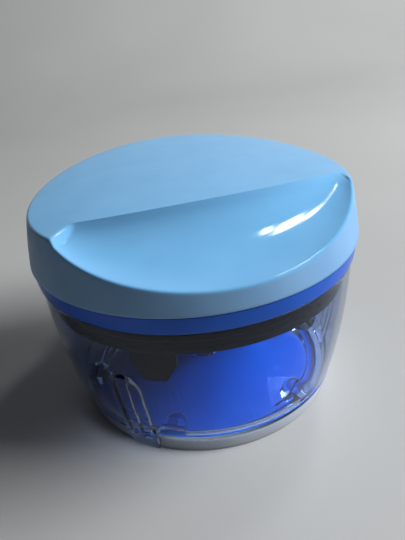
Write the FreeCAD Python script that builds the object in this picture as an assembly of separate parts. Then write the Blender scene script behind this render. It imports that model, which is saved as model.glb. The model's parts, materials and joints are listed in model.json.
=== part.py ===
import FreeCAD, Part
import math
import os

# Hand-pulled food chopper: a tinted bowl on a non-slip base, a lid with a scooped palm grip that
# holds a cord reel and its recoil spring, and a three-blade column that the reel turns.
# Frame: millimetres, +Z up, origin at the centre of the base's underside.
# The scoop faces -Y and the pull handle is at +Y. Azimuths are in degrees from -Y towards +X.

V = FreeCAD.Vector
ORIGIN = V(0, 0, 0)
UP = V(0, 0, 1)
TALL = 40.0                  # height of cutting tools past the body they cut
BEYOND = 70.0                # radius outside every round part

# --- driving dimensions -------------------------------------------------------------------------
LID_R = 66.9                 # widest radius, at the foot of the lid cover
LID_TOP_Z = 93.5             # crown of the lid cover
LID_EDGE_DROP = 5.3          # how much lower the crown is at its left and right edges
CROWN_HALF = 64.5            # half width over which that drop happens
COVER_Z = 68.6               # foot of the lid cover
HOUSING_Z = 61.4             # foot of the lid's lower housing
BOWL_RIM_Z = 61.0
BOWL_FOOT_Z = 5.7
BOWL_FLOOR_Z = 8.0
WALL = 2.2                   # moulded wall thickness
BASE_R = 54.6
BASE_H = 5.5
PIVOT_R = 2.0                # steel pins of the blade column and of the reel
RUN_FIT = 0.06               # radial clearance of a shaft in its bore
GAP = 0.3                    # space between separate moving pieces

# base
DISH_INNER_R = 50.6
DISH_FLOOR_Z = 2.0
GRIP_GROOVES = [18.0, 26.0, 34.0, 42.0]
GRIP_GROOVE_WIDTH = 1.6
GRIP_GROOVE_DEPTH = 0.7
DISC_R = 50.2
DISC_Z1 = 3.5

# lid cover and its scoop
COVER_SIDE = [(LID_R, COVER_Z), (65.5, 80.0), (62.7, 94.5)]
CREASE_R = 139.0             # plan radius of the crease between crown and scoop
CREASE_X = 2.0
CREASE_Y = -31.3             # foremost point of the crease
SCOOP_HALF = 57.5            # half length of the scoop
SCOOP_DEPTH = 16.9
SCOOP_POWER_LEFT = 1.24      # how abruptly the scoop runs out at its ends
SCOOP_POWER_RIGHT = 1.4
CORNER_X = -50.8             # a slanting wall closes the scoop's left end at the crease
CORNER_Y = -21.0
CORNER_SLANT = 0.96
CORNER_WIDTH = 6.0
SCOOP_LIFT = 0.7             # the scoop surface starts this far above the crown

# bowl; side profiles are (radius, height) points on an arc
BOWL_SIDE = [(57.2, 9.5), (62.1, 34.0), (64.5, BOWL_RIM_Z)]
BOWL_CORNER = [(53.4, BOWL_FOOT_Z), (55.9, 6.7), (57.2, 9.5)]
RIB_AZ = [-42.0, 78.0, 198.0]
RIB_WIDTH = 12.6
RIB_TOP_Z = 40.5
RIB_FOOT_Z = 0.8
RIB_PROUD = 1.2
RIB_GROOVE = 3.0
RIB_GROOVE_Z0 = 9.0
RIB_GROOVE_ANGLE = 2.6       # each groove's azimuth from the rib's middle
RIB_CORE_R = 50.0            # ribs are cut back to this radius before they join the bowl
FOOT_RING = (47.0, 49.4, 3.55)
BOSS_TOP_Z = 12.0
BUMP_AZ = [-30.0, 30.0, 90.0, 150.0, 210.0, 270.0]
BUMP_PLACE_R = 49.8
BUMP_R = 5.8

# blade unit: height and azimuth of each blade
BLADES = {"blade_lower": (15.2, 158.0), "blade_middle": (27.2, 278.0), "blade_upper": (39.2, 38.0)}
BLADE_REACH = 46.0
BLADE_T = 0.9
BLADE_RING_R = 8.6
BLADE_GRIND = 0.6            # bevel along the cutting edge
COLUMN_R = 6.0
COLLAR_R = 9.4
COLUMN_HEAD_R = 7.2

# lid floor plate and sealing skirt
PLATE_Z0 = 62.6
PLATE_Z1 = 64.8
SEAL_R = 61.4
SEAL_Z0 = 50.8
SKIRT_IN_R = 58.2
SKIRT_OUT_R = 60.9
TONGUE_AZ = [-31.0, 89.0, 209.0]
TONGUE_WIDTH = 16.6
TONGUE_Z0 = 39.2
TONGUE_CORNER = 4.2

# lid mechanism
HUB_R = 9.22
HUB_Z0 = 50.2
SOCKET_AF = 10.4             # hexagon across flats, in the drive hub
COLUMN_AF = 10.0             # hexagon across flats, on the blade column
FLANGE_Z0 = 65.35            # thrust flange of the hub, over its washer
FLANGE_Z1 = 67.3
CLIP_Z0 = 61.5
CLIP_Z1 = 62.3
RATCHET_Z0 = 67.4
RATCHET_Z1 = 70.6
RATCHET_TEETH = 12
RATCHET_ROOT_R = 8.6
RATCHET_TIP_R = 11.2
SPIGOT_R = 5.0               # the ratchet sits on this part of the hub
PAWL_PIN_R = 15.4
PAWL_AZ = [0.0, 180.0]
PAWL_Z0 = 67.8
PAWL_Z1 = 70.4
REEL_FLANGE_R = 22.0
REEL_CORE_R = 14.0
REEL_Z0 = 71.2
REEL_Z1 = 80.5
CORD_R = 0.75
CORD_WIND_R = REEL_CORE_R + CORD_R + 0.05
CORD_Z = 76.6
CORD_TURNS = 4
EYELET_Y = 62.4
EYELET_R = 3.2
SPRING_CUP_Z = 80.9
SPRING_CUP_R = 22.4
SPRING_COVER_Z = 87.3
SPRING_TURNS = 6.0
SPRING_Z0 = 82.6
SPRING_H = 4.0
SPRING_STRIP = 0.45
MECH_POST_R = 26.5
MECH_POST_AZ = [-30.0, 90.0, 210.0]
LID_SCREW_R = 52.0
LID_SCREW_AZ = [60.0, 155.0, 300.0]
LID_SCREW_R_SHANK = 1.25

# pull handle
HANDLE_R0 = 67.6
HANDLE_R1 = 76.6
HANDLE_HALF_ANGLE = 27.0
HANDLE_H = 15.0
HANDLE_EDGE_R = 2.4
HANDLE_END_R = 4.0
FINGER_GROOVE_R = 6.0
FINGER_GROOVE_DEPTH = 1.1
KNOT_Y = 73.2
CAP_Y = 75.0
CAP_R = 4.2


# --- helpers ------------------------------------------------------------------------------------
def polar(az, r, z):
    """Point at azimuth az, counted from the front (-Y) towards +X."""
    a = math.radians(az)
    return V(r * math.sin(a), -r * math.cos(a), z)


def line(a, b):
    return Part.LineSegment(a, b).toShape()


def arc(a, b, c):
    return Part.Arc(a, b, c).toShape()


def half_plane_point(p):
    """(radius, height) as a point of the XZ half plane."""
    return V(p[0], 0, p[1])


def turned(edges):
    """Solid of revolution about Z of a closed outline in the XZ half plane."""
    solid = Part.Face(Part.Wire(Part.__sortEdges__(edges))).revolve(ORIGIN, UP, 360)
    return solid


def turned_polygon(points):
    """Solid of revolution about Z of a polygon given as (radius, height) points."""
    corners = [half_plane_point(p) for p in points]
    corners.append(corners[0])
    return Part.Face(Part.makePolygon(corners)).revolve(ORIGIN, UP, 360)


def disc(r, z0, z1, at=ORIGIN):
    return Part.makeCylinder(r, z1 - z0, V(at.x, at.y, z0), UP)


def ring(r_in, r_out, z0, z1):
    return disc(r_out, z0, z1).cut(disc(r_in, z0 - 1, z1 + 1))


def rod(start, end, r):
    return Part.makeCylinder(r, (end - start).Length, start, end - start)


def prism(points, z0, z1):
    """Upright prism on a polygon given as (x, y) points."""
    corners = [V(x, y, z0) for x, y in points]
    corners.append(corners[0])
    return Part.Face(Part.makePolygon(corners)).extrude(V(0, 0, z1 - z0))


def hexagon(across_flats, z0, z1):
    r = across_flats / math.sqrt(3)
    return prism([(r * math.cos(math.radians(60 * i)), r * math.sin(math.radians(60 * i)))
                  for i in range(6)], z0, z1)


def turn(shape, angle):
    """Copy of a shape turned about Z; positive goes from -Y towards +X."""
    copy = shape.copy()
    copy.rotate(ORIGIN, UP, angle)
    return copy


def join(shapes):
    result = shapes[0]
    for shape in shapes[1:]:
        result = result.fuse(shape)
    return result


def fuse_all(shapes):
    """Joined shapes with the seams between equal faces taken out."""
    return join(shapes).removeSplitter()


def save(name, shape):
    shape.exportStep(os.path.join("parts", name + ".step"))
    box = shape.BoundBox
    print("%-20s solids %d valid %s vol %9.1f  z %.2f..%.2f" % (
        name, len(shape.Solids), shape.isValid(), shape.Volume, box.ZMin, box.ZMax))


# --- base ---------------------------------------------------------------------------------------
def non_slip_base():
    """Soft dish under the bowl, with concentric grip grooves in its underside."""
    dish = turned_polygon([(0, 0), (BASE_R - 0.6, 0), (BASE_R, 0.6), (BASE_R, BASE_H - 0.8),
                           (BASE_R - 0.8, BASE_H), (DISH_INNER_R, BASE_H),
                           (DISH_INNER_R, DISH_FLOOR_Z), (0, DISH_FLOOR_Z)])
    for r in GRIP_GROOVES:
        dish = dish.cut(ring(r, r + GRIP_GROOVE_WIDTH, -1, GRIP_GROOVE_DEPTH))
    return dish


def base_disc():
    """Stiff coloured disc that lies in the dish, under the clear floor of the bowl."""
    return disc(DISC_R, DISH_FLOOR_Z + 0.05, DISC_Z1)


# --- bowl ---------------------------------------------------------------------------------------
def bowl_body(offset):
    """Filled outer shape of the bowl, its side moved inwards by offset."""
    foot_z = BOWL_FLOOR_Z if offset else BOWL_FOOT_Z
    lift = foot_z - BOWL_FOOT_Z
    corner = [V(r - offset, 0, z + lift) for r, z in BOWL_CORNER]
    side = [V(r - offset, 0, z) for r, z in BOWL_SIDE]
    side[0] = corner[2]
    top_z = BOWL_RIM_Z + (1.0 if offset else 0.0)
    top = V(side[2].x, 0, top_z)
    edges = [arc(corner[0], corner[1], corner[2]), arc(side[0], side[1], side[2])]
    if offset:
        edges.append(line(side[2], top))
    edges.append(line(top, V(0, 0, top_z)))
    edges.append(line(V(0, 0, top_z), V(0, 0, foot_z)))
    edges.append(line(V(0, 0, foot_z), corner[0]))
    return turned(edges)


def slot_bar(width, z0, z1):
    """Radial bar at azimuth 0 with an upright round-topped outline, outside the ribs' core."""
    half = width / 2
    outline = [line(V(-half, 0, z0), V(half, 0, z0)),
               line(V(half, 0, z0), V(half, 0, z1 - half)),
               arc(V(half, 0, z1 - half), V(0, 0, z1), V(-half, 0, z1 - half)),
               line(V(-half, 0, z1 - half), V(-half, 0, z0))]
    bar = Part.Face(Part.Wire(outline)).extrude(V(0, -BEYOND, 0))
    return bar.cut(disc(RIB_CORE_R, z0 - 1, z1 + 1))


def grip_rib():
    """One moulded finger rib at azimuth 0; its foot hooks down outside the base."""
    foot_r = BASE_R + GAP
    foot_t = 1.5
    outer = [V(r + RIB_PROUD, 0, z) for r, z in BOWL_SIDE]
    skin = turned([line(V(foot_r, 0, RIB_FOOT_Z), V(foot_r + foot_t, 0, RIB_FOOT_Z)),
                   line(V(foot_r + foot_t, 0, RIB_FOOT_Z), outer[0]),
                   arc(outer[0], outer[1], outer[2]),
                   line(outer[2], V(foot_r, 0, BOWL_RIM_Z)),
                   line(V(foot_r, 0, BOWL_RIM_Z), V(foot_r, 0, RIB_FOOT_Z))])
    skin = skin.cut(disc(RIB_CORE_R, RIB_FOOT_Z - 1, BOWL_RIM_Z + 1))
    return skin.common(slot_bar(RIB_WIDTH, RIB_FOOT_Z, RIB_TOP_Z)).cut(bowl_body(0))


def rib_groove(side):
    """One of the two upright grooves of a rib, to the left (-1) or right (+1) of its middle."""
    groove = slot_bar(RIB_GROOVE, RIB_GROOVE_Z0, RIB_TOP_Z - 2.2)
    groove = turn(groove, side * RIB_GROOVE_ANGLE)
    inner = [V(r + 0.35, 0, z) for r, z in BOWL_SIDE]
    core = turned([line(V(0, 0, inner[0].z), inner[0]), arc(inner[0], inner[1], inner[2]),
                   line(inner[2], V(0, 0, inner[2].z)), line(V(0, 0, inner[2].z), V(0, 0, inner[0].z))])
    return groove.cut(core)


def bowl():
    """Clear tinted bowl with a foot ring, finger ribs, corner bumps and a boss for the pin."""
    outer = bowl_body(0)
    for az in RIB_AZ:
        rib = grip_rib().cut(rib_groove(-1)).cut(rib_groove(1))
        outer = outer.fuse(turn(rib, az))
    body = outer.cut(bowl_body(WALL))
    r_in, r_out, ring_z0 = FOOT_RING
    foot_ring = ring(r_in, r_out, ring_z0, BOWL_FOOT_Z)
    boss = turned_polygon([(0, BOWL_FLOOR_Z - 0.5), (7.5, BOWL_FLOOR_Z - 0.5), (7.0, BOWL_FLOOR_Z),
                           (5.0, BOSS_TOP_Z), (0, BOSS_TOP_Z)])
    additions = [body, foot_ring, boss]
    for az in BUMP_AZ:
        bump = Part.makeSphere(BUMP_R, polar(az, BUMP_PLACE_R, BOWL_FLOOR_Z + 0.4))
        additions.append(bump.common(bowl_body(WALL / 2)))
    body = fuse_all(additions)
    return body.cut(disc(PIVOT_R, BOWL_FOOT_Z + 0.8, BOSS_TOP_Z + 2))


def bowl_pivot_pin():
    """Steel pin that the blade column turns on."""
    dome_z = 22.0
    return disc(PIVOT_R, BOWL_FOOT_Z + 0.8, dome_z).fuse(Part.makeSphere(PIVOT_R, V(0, 0, dome_z)))


# --- blade unit ---------------------------------------------------------------------------------
def blade(z, az):
    """One curved steel blade with a ring that the column is moulded through."""
    tip = V(-3.0, -BLADE_REACH, z)
    lead_root = V(4.6, -6.6, z)
    trail_root = V(-4.6, -6.6, z)
    outline = [line(trail_root, lead_root), arc(lead_root, V(9.5, -27.0, z), tip),
               arc(tip, V(-1.4, -26.0, z), trail_root)]
    tongue = Part.Face(Part.Wire(outline)).extrude(V(0, 0, BLADE_T))
    ground = [e for e in tongue.Edges if abs(e.BoundBox.ZMin - z - BLADE_T) < 0.01
              and abs(e.BoundBox.ZMax - z - BLADE_T) < 0.01 and e.BoundBox.XMax > 8]
    tongue = tongue.makeChamfer(BLADE_GRIND, BLADE_GRIND, ground)
    plate = tongue.fuse(disc(BLADE_RING_R, z, z + BLADE_T)).removeSplitter()
    return turn(plate.cut(disc(COLUMN_R, z - 1, z + 2)), az)


def blade_column():
    """Plastic column with collars over and under each blade and a hexagon on top."""
    foot = BOSS_TOP_Z + GAP
    head = HUB_Z0 - GAP
    hexagon_h = 8.8
    parts = [disc(COLUMN_R, foot, head), disc(8.0, foot, foot + 1.6),
             turned_polygon([(0, 43.0), (COLUMN_R, 43.0), (COLUMN_HEAD_R, 45.0),
                             (COLUMN_HEAD_R, head - 1.2), (COLUMN_R, head), (0, head)]),
             hexagon(COLUMN_AF, head - 0.5, head + hexagon_h)]
    for z, _ in BLADES.values():
        parts.append(disc(COLLAR_R, z - 1.4, z))
        parts.append(disc(COLLAR_R, z + BLADE_T, z + BLADE_T + 1.2))
    return fuse_all(parts).cut(disc(PIVOT_R + RUN_FIT, foot - 1, 24.6))


# --- lid shells ---------------------------------------------------------------------------------
def crown_z(x):
    return LID_TOP_Z - LID_EDGE_DROP * (x / CROWN_HALF) ** 2


def crease_y(x):
    return CREASE_Y + CREASE_R - math.sqrt(CREASE_R ** 2 - (x - CREASE_X) ** 2)


def corner_share(x, y):
    """How much of its depth the scoop has at its closed left end: 0 before the wall, 1 past it."""
    foot = CORNER_X + (y - CORNER_Y) * CORNER_SLANT
    t = min(max((x - foot) / CORNER_WIDTH, 0.0), 1.0)
    return t * t * (3 - 2 * t)


def scoop_tool(back, down):
    """Space over the scoop surface, moved back and down for the inside of the shell."""
    columns = 37
    rows = 15
    grid = []
    for i in range(columns):
        theta = math.radians(-90 + 180 * i / (columns - 1))
        x = SCOOP_HALF * math.sin(theta)
        y_crease = crease_y(x)
        reach = y_crease + math.sqrt(LID_R ** 2 - x ** 2) + 3.0
        power = SCOOP_POWER_LEFT if x < 0 else SCOOP_POWER_RIGHT
        depth = (SCOOP_DEPTH + SCOOP_LIFT) * max(math.cos(theta), 0.0) ** power
        column = []
        for j in range(rows):
            phi = math.radians(90 * j / (rows - 1))
            y = y_crease - reach * (1 - math.cos(phi))
            z = crown_z(x) + SCOOP_LIFT - depth * math.sin(phi) * corner_share(x, y)
            column.append(V(x, y + back, z - down))
        grid.append(column)
    surface = Part.BSplineSurface()
    surface.interpolate(grid)
    return surface.toShape().extrude(V(0, 0, TALL))


def crown_cutter(down):
    """Everything over the crown, which is an upright-sided cylinder surface along Y."""
    r = CROWN_HALF ** 2 / (2 * LID_EDGE_DROP)
    under = Part.makeCylinder(r, 4 * LID_R, V(0, -2 * LID_R, LID_TOP_Z - down - r), V(0, 1, 0))
    block = Part.makeBox(4 * LID_R, 4 * LID_R, TALL, V(-2 * LID_R, -2 * LID_R, COVER_Z))
    return block.cut(under)


def cover_body(offset):
    """Filled outer shape of the lid cover, its side moved inwards by offset."""
    side = [V(r - offset, 0, z) for r, z in COVER_SIDE]
    foot_z = COVER_Z - (1.0 if offset else 0.0)
    foot = V(side[0].x, 0, foot_z)
    edges = [arc(side[0], side[1], side[2]),
             line(side[2], V(0, 0, side[2].z)),
             line(V(0, 0, side[2].z), V(0, 0, foot_z))]
    if offset:
        edges.append(line(V(0, 0, foot_z), foot))
        edges.append(line(foot, side[0]))
    else:
        edges.append(line(V(0, 0, foot_z), side[0]))
    body = turned(edges)
    body = body.cut(crown_cutter(offset))
    return body.cut(scoop_tool(offset, offset))


def lid_top_cover():
    """Thin shell with the crown and the scoop, screw bosses and the cord's outlet."""
    solid = cover_body(0)
    shell = solid.cut(cover_body(WALL))
    bosses = []
    for az in LID_SCREW_AZ:
        foot = polar(az, LID_SCREW_R, PLATE_Z1 + 0.05)
        low = disc(4.0, foot.z, COVER_Z + 1.0, foot)
        high = disc(4.0, COVER_Z + 1.0, LID_TOP_Z + 2, foot).common(solid)
        bosses.append(low.fuse(high))
    shell = join([shell] + bosses)
    for az in LID_SCREW_AZ:
        foot = polar(az, LID_SCREW_R, PLATE_Z1 - 1)
        shell = shell.cut(disc(LID_SCREW_R_SHANK, foot.z, 75.0, foot))
    outlet = rod(V(0, 55.0, CORD_Z), V(0, 75.0, CORD_Z), EYELET_R)
    return shell.cut(outlet)


def lid_lower_housing():
    """Coloured ring and floor plate of the lid, with posts for the mechanism."""
    body = turned_polygon([(HUB_R + RUN_FIT, PLATE_Z0), (62.9, PLATE_Z0), (62.9, HOUSING_Z),
                           (65.0, HOUSING_Z), (65.3, HOUSING_Z + 0.4), (66.5, COVER_Z - 0.1),
                           (64.0, COVER_Z - 0.1), (64.0, 70.5), (62.2, 70.5), (62.2, PLATE_Z1),
                           (HUB_R + RUN_FIT, PLATE_Z1)])
    posts = [disc(3.2, PLATE_Z1 - 0.5, SPRING_CUP_Z, polar(az, MECH_POST_R, 0)) for az in MECH_POST_AZ]
    ribs = []
    for az in range(15, 375, 60):
        rib = Part.makeBox(1.4, 32.0, 2.5, V(-0.7, -62.0, PLATE_Z1 - 0.3))
        ribs.append(turn(rib, az))
    body = fuse_all([body] + posts + ribs)
    for az in MECH_POST_AZ:
        body = body.cut(disc(1.1, 70.0, SPRING_CUP_Z + 1, polar(az, MECH_POST_R, 0)))
    for az in LID_SCREW_AZ:
        body = body.cut(disc(1.5, PLATE_Z0 - 1, PLATE_Z1 + 1, polar(az, LID_SCREW_R, 0)))
    return body


def lid_seal():
    """Dark sealing skirt that dips into the bowl's mouth, with three guiding tongues."""
    top_z = PLATE_Z0 - 0.02
    lip_z = SEAL_Z0 + 2.4
    bead_z = 56.0
    skirt = turned_polygon([(SKIRT_IN_R + 0.4, top_z), (SKIRT_IN_R, SEAL_Z0), (60.6, SEAL_Z0),
                            (SEAL_R, lip_z), (SKIRT_OUT_R, lip_z + 0.9), (SKIRT_OUT_R, bead_z),
                            (SEAL_R, bead_z + 0.9), (SEAL_R, bead_z + 2.0),
                            (SKIRT_OUT_R, bead_z + 2.9), (SKIRT_OUT_R, top_z)])
    root_z = SEAL_Z0 + 1.0
    shoulder_z = TONGUE_Z0 + TONGUE_CORNER * 1.6
    band = ring(SKIRT_IN_R, 60.3, TONGUE_Z0, root_z)
    half = TONGUE_WIDTH / 2
    outline = [(-half + TONGUE_CORNER, TONGUE_Z0), (half - TONGUE_CORNER, TONGUE_Z0),
               (half, shoulder_z), (half, root_z), (-half, root_z), (-half, shoulder_z),
               (-half + TONGUE_CORNER, TONGUE_Z0)]
    face = Part.Face(Part.makePolygon([half_plane_point(p) for p in outline]))
    tongue = face.extrude(V(0, -BEYOND, 0)).common(band)
    return fuse_all([skirt] + [turn(tongue, az) for az in TONGUE_AZ])


def screw(at, z_head, z_tip, head_r, head_h, shank_r, upward):
    """Pan-head screw with a cross recess; its tip is above its head when upward is true."""
    sign = 1 if upward else -1
    shank = rod(V(at.x, at.y, z_head), V(at.x, at.y, z_tip), shank_r)
    head = rod(V(at.x, at.y, z_head - sign * head_h), V(at.x, at.y, z_head), head_r)
    slot = head_r * 1.2
    depth = head_h * 0.5
    z_slot = z_head - head_h if upward else z_head + head_h - depth
    across = Part.makeBox(slot, 0.5, depth, V(at.x - slot / 2, at.y - 0.25, z_slot))
    along = Part.makeBox(0.5, slot, depth, V(at.x - 0.25, at.y - slot / 2, z_slot))
    return shank.fuse(head).removeSplitter().cut(across).cut(along)


def lid_screws():
    """Three screws that hold the lower housing to the top cover, from below."""
    tip_z = 73.0
    head_r = 2.8
    head_h = 1.7
    return Part.makeCompound([screw(polar(az, LID_SCREW_R, 0), PLATE_Z0, tip_z, head_r, head_h,
                                    LID_SCREW_R_SHANK, True) for az in LID_SCREW_AZ])


# --- lid mechanism ------------------------------------------------------------------------------
def drive_hub():
    """Output hub that hangs through the floor plate and takes the blade column's hexagon."""
    body = fuse_all([disc(HUB_R, HUB_Z0, 66.0), disc(12.0, FLANGE_Z0, FLANGE_Z1),
                     disc(SPIGOT_R, FLANGE_Z1 - 0.3, RATCHET_Z1 + 0.2)])
    entry = turned_polygon([(0, HUB_Z0 - 1), (7.6, HUB_Z0 - 1), (7.6, HUB_Z0), (6.3, HUB_Z0 + 0.55),
                            (0, HUB_Z0 + 0.55)])
    body = body.cut(hexagon(SOCKET_AF, HUB_Z0 - 1, HUB_Z0 + 9.2)).cut(entry)
    groove = ring(HUB_R - 1.0, HUB_R + 1, CLIP_Z0, CLIP_Z1)
    return body.cut(groove).cut(disc(PIVOT_R + RUN_FIT, 50, 72))


def hub_circlip():
    """Open spring ring in the hub's groove, under the floor plate."""
    mouth = 5.0
    clip = ring(HUB_R - 1.0, HUB_R + 1.9, CLIP_Z0 + 0.05, CLIP_Z1 - 0.05)
    return clip.cut(Part.makeBox(mouth, 20.0, 4.0, V(-mouth / 2, 0, CLIP_Z0 - 1)))


def hub_washer():
    return ring(HUB_R + 0.4, 12.0, PLATE_Z1, FLANGE_Z0 - 0.05)


def clutch_ratchet():
    """Saw-toothed wheel on the hub's spigot; the steep faces look back against the drive."""
    steep = math.radians(3.4)
    first = math.radians(-44.0)
    points = []
    for i in range(RATCHET_TEETH):
        tip = first + 2 * math.pi * i / RATCHET_TEETH
        root = tip - steep
        points.append((RATCHET_ROOT_R * math.cos(root), RATCHET_ROOT_R * math.sin(root)))
        points.append((RATCHET_TIP_R * math.cos(tip), RATCHET_TIP_R * math.sin(tip)))
    return prism(points, RATCHET_Z0, RATCHET_Z1).cut(disc(SPIGOT_R, RATCHET_Z0 - 1, RATCHET_Z1 + 1))


def clutch_pawls():
    """Two pawls that hang under the reel and push the ratchet one way."""
    pawls = []
    for az in PAWL_AZ:
        eye = disc(2.3, PAWL_Z0, PAWL_Z1, polar(az, PAWL_PIN_R, 0))
        arm = prism([(-0.4, -13.4), (1.4, -17.5), (9.2, -10.4), (7.6, -8.0), (6.5, -7.7),
                     (6.0, -10.2)], PAWL_Z0, PAWL_Z1)
        pawl = fuse_all([eye, turn(arm, az)])
        pawls.append(pawl.cut(disc(1.0, PAWL_Z0 - 1, PAWL_Z1 + 1, polar(az, PAWL_PIN_R, 0))))
    return Part.makeCompound(pawls)


def pawl_pins():
    return Part.makeCompound([disc(1.0, PAWL_Z0 - 0.2, REEL_Z0 + 1.4, polar(az, PAWL_PIN_R, 0))
                              for az in PAWL_AZ])


def cord_reel():
    """Flanged spool with a neck for the spring's inner end."""
    flange_t = 1.4
    body = fuse_all([disc(REEL_FLANGE_R, REEL_Z0, REEL_Z0 + flange_t),
                     disc(REEL_CORE_R, REEL_Z0, REEL_Z1),
                     disc(REEL_FLANGE_R, REEL_Z1 - flange_t, REEL_Z1), disc(4.5, REEL_Z1 - 1, 84.5)])
    body = body.cut(disc(PIVOT_R + RUN_FIT, REEL_Z0 - 1, 90))
    for az in PAWL_AZ:
        body = body.cut(disc(1.0, REEL_Z0 - 1, REEL_Z0 + flange_t, polar(az, PAWL_PIN_R, 0)))
    for az in range(30, 390, 60):
        body = body.cut(disc(2.4, REEL_Z0 - 1, REEL_Z1 + 1, polar(az, 9.4, 0)))
    return body


def reel_axle():
    """Fixed steel pin that the reel and the hub turn on."""
    return disc(PIVOT_R, 61.8, SPRING_COVER_Z + 1.0)


def cord_on_reel():
    """The stored turns of the cord, side by side on the spool."""
    pitch = 2 * CORD_R + 0.05
    first = CORD_Z - 2 * pitch
    return Part.makeCompound([Part.makeTorus(CORD_WIND_R, CORD_R, V(0, 0, first + i * pitch))
                              for i in range(CORD_TURNS)])


def tangent_point():
    """Where the cord leaves the spool on its straight way to the eyelet."""
    a = math.acos(CORD_WIND_R / EYELET_Y)
    return V(CORD_WIND_R * math.sin(a), CORD_WIND_R * math.cos(a), CORD_Z)


def cord_inner_run():
    """Straight stretch of cord from just off the spool to the eyelet."""
    start = tangent_point()
    end = V(0, EYELET_Y, CORD_Z)
    way = (end - start).normalize()
    return rod(start + way * 7.6, end, CORD_R)


def cord_eyelet():
    """Flanged steel bush in the cover's outlet."""
    flange_y = EYELET_Y - 0.5
    bush = rod(V(0, flange_y, CORD_Z), V(0, 66.6, CORD_Z), EYELET_R)
    flange = rod(V(0, flange_y, CORD_Z), V(0, flange_y + 0.9, CORD_Z), 4.4)
    bush = bush.fuse(flange).removeSplitter()
    return bush.cut(rod(V(0, 60, CORD_Z), V(0, 70, CORD_Z), 1.3))


def cord_outer_run():
    """Stretch of cord from the eyelet into the handle."""
    return rod(V(0, 63.2, CORD_Z), V(0, 72.4, CORD_Z), CORD_R)


def recoil_spring():
    """Spiral of flat steel strip between the reel's neck and the cup's wall."""
    r_start = 5.2
    r_end = 20.2
    steps = int(SPRING_TURNS * 16)
    inner = []
    outer = []
    for i in range(steps + 1):
        a = 2 * math.pi * SPRING_TURNS * i / steps
        r_in = r_start + (r_end - r_start) * i / steps
        r_out = r_in + SPRING_STRIP
        inner.append(V(r_in * math.cos(a), r_in * math.sin(a), SPRING_Z0))
        outer.append(V(r_out * math.cos(a), r_out * math.sin(a), SPRING_Z0))
    curve_in = Part.BSplineCurve()
    curve_in.interpolate(inner)
    curve_out = Part.BSplineCurve()
    curve_out.interpolate(outer)
    outline = Part.Wire([curve_in.toShape(), line(inner[-1], outer[-1]), curve_out.toShape(),
                         line(outer[0], inner[0])])
    return Part.Face(outline).extrude(V(0, 0, SPRING_H))


def spring_cup():
    """Cup over the reel for the recoil spring, with three screw ears."""
    floor_t = 1.2
    body = turned_polygon([(5.4, SPRING_CUP_Z), (SPRING_CUP_R, SPRING_CUP_Z),
                           (SPRING_CUP_R, SPRING_COVER_Z), (SPRING_CUP_R - 1.5, SPRING_COVER_Z),
                           (SPRING_CUP_R - 1.5, SPRING_CUP_Z + floor_t), (5.4, SPRING_CUP_Z + floor_t)])
    ears = []
    for az in MECH_POST_AZ:
        ear = disc(4.8, SPRING_CUP_Z, SPRING_CUP_Z + 1.8, polar(az, MECH_POST_R, 0))
        ears.append(ear.cut(disc(SPRING_CUP_R - 0.2, 70, 90)))
    body = fuse_all([body] + ears)
    for az in MECH_POST_AZ:
        body = body.cut(disc(1.3, SPRING_CUP_Z - 1, SPRING_CUP_Z + 3, polar(az, MECH_POST_R, 0)))
    return body


def spring_cover():
    """Disc that closes the spring cup and holds the top of the axle."""
    cover = fuse_all([disc(SPRING_CUP_R, SPRING_COVER_Z, SPRING_COVER_Z + 1.0),
                      disc(4.0, SPRING_COVER_Z - 1.8, SPRING_COVER_Z + 0.5)])
    return cover.cut(disc(PIVOT_R, 80, 95))


def mechanism_screws():
    """Three screws that hold the spring cup on its posts, from above."""
    return Part.makeCompound([screw(polar(az, MECH_POST_R, 0), SPRING_CUP_Z + 1.8, 72.0, 2.3, 1.4,
                                    1.1, False) for az in MECH_POST_AZ])


# --- pull handle --------------------------------------------------------------------------------
def pull_handle():
    """Curved grip bar behind the lid, grooved along its top and underside for the fingers."""
    z0 = CORD_Z - HANDLE_H / 2
    z1 = CORD_Z + HANDLE_H / 2
    a = HANDLE_HALF_ANGLE
    outline = [arc(polar(180 - a, HANDLE_R0, z0), polar(180, HANDLE_R0, z0),
                   polar(180 + a, HANDLE_R0, z0)),
               line(polar(180 + a, HANDLE_R0, z0), polar(180 + a, HANDLE_R1, z0)),
               arc(polar(180 + a, HANDLE_R1, z0), polar(180, HANDLE_R1, z0),
                   polar(180 - a, HANDLE_R1, z0)),
               line(polar(180 - a, HANDLE_R1, z0), polar(180 - a, HANDLE_R0, z0))]
    bar = Part.Face(Part.Wire(outline)).extrude(V(0, 0, HANDLE_H))
    upright = [e for e in bar.Edges if e.BoundBox.ZLength > HANDLE_H - 1]
    bar = bar.makeFillet(HANDLE_END_R, upright)
    level = [e for e in bar.Edges if e.BoundBox.ZLength < 0.01]
    bar = bar.makeFillet(HANDLE_EDGE_R, level)
    middle_r = (HANDLE_R0 + HANDLE_R1) / 2 + 0.6
    rise = FINGER_GROOVE_R - FINGER_GROOVE_DEPTH
    groove = Part.makeTorus(middle_r, FINGER_GROOVE_R, V(0, 0, z1 + rise))
    groove_low = Part.makeTorus(middle_r, FINGER_GROOVE_R, V(0, 0, z0 - rise))
    sector = prism([(0, 0), polar(180 - a + 7, 100, 0)[:2], polar(180 + a - 7, 100, 0)[:2]], 40, 120)
    bar = bar.cut(groove.common(sector)).cut(groove_low.common(sector))
    bar = bar.cut(rod(V(0, 60, CORD_Z), V(0, 75, CORD_Z), CORD_R + 0.1))
    bar = bar.cut(rod(V(0, KNOT_Y - 1.8, CORD_Z), V(0, 80, CORD_Z), 3.0))
    return bar.cut(rod(V(0, CAP_Y, CORD_Z), V(0, 80, CORD_Z), CAP_R))


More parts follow.
